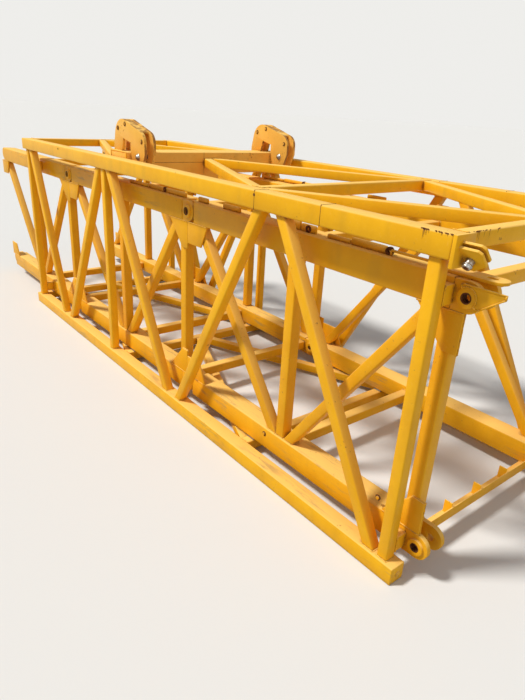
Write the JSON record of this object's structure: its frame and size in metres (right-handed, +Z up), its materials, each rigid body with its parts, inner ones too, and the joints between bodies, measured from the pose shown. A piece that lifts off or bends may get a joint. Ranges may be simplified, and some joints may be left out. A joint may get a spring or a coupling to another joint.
{
  "type": "tower crane climbing cage with mast sections",
  "caption": "Square lattice climbing cage of a tower crane, laid on its side with pinned box-leg mast sections inside that slide along it.",
  "frame": {"origin": "on the ground under the middle of the whole object", "axes": "+X along the cage towards its near end in the picture, +Y across to the far side, +Z up"},
  "size_m": [9.325, 2.42, 2.8],
  "materials": {
    "cage_paint": "sun-bleached chrome yellow paint, chalky, with rust at edges and welds",
    "mast_paint": "weathered yellow paint with dirt streaks and small rust spots",
    "pale_paint": "paler, chalked yellow paint with rust at the rims",
    "worn_steel": "yellow paint worn to steel on the running face",
    "bare_steel": "bare turned steel, dull, with light rust"
  },
  "bodies": {
    "cage": {"chord_near_top": "cage_paint", "chord_near_bottom": "cage_paint", "chord_far_top": "cage_paint", "chord_far_bottom": "cage_paint", "near_side_posts": "cage_paint", "near_side_diagonals": "cage_paint", "far_side_posts": "cage_paint", "far_side_diagonals": "cage_paint", "top_struts": "cage_paint", "top_braces": "cage_paint", "bottom_struts": "cage_paint", "bottom_braces": "cage_paint", "climbing_beam": "pale_paint", "climbing_arm_near": "pale_paint", "climbing_arm_far": "pale_paint", "guide_shoes": "worn_steel", "rest_pads": "worn_steel", "corner_brackets": "cage_paint", "corner_pins": "bare_steel"},
    "mast": {"section_1_legs": "mast_paint", "section_1_forks": "mast_paint", "section_1_tongues": "mast_paint", "section_1_near_web": "mast_paint", "section_1_far_web": "mast_paint", "section_1_cross_struts": "mast_paint", "section_1_gussets": "mast_paint", "section_2_legs": "mast_paint", "section_2_forks": "mast_paint", "section_2_tongues": "mast_paint", "section_2_near_web": "mast_paint", "section_2_far_web": "mast_paint", "section_2_cross_struts": "mast_paint", "section_2_gussets": "mast_paint", "section_3_legs": "mast_paint", "section_3_forks": "mast_paint", "section_3_tongues": "mast_paint", "section_3_near_web": "mast_paint", "section_3_far_web": "mast_paint", "section_3_cross_struts": "mast_paint", "section_3_gussets": "mast_paint", "flat_ears": "mast_paint", "joint_pins": "bare_steel", "end_bar": "mast_paint"}
  },
  "joints": [
    {"name": "mast_slide", "type": "slide", "parent": "cage", "child": "mast", "axis": [1, 0, 0], "range_m": [0, 1.4]}
  ]
}
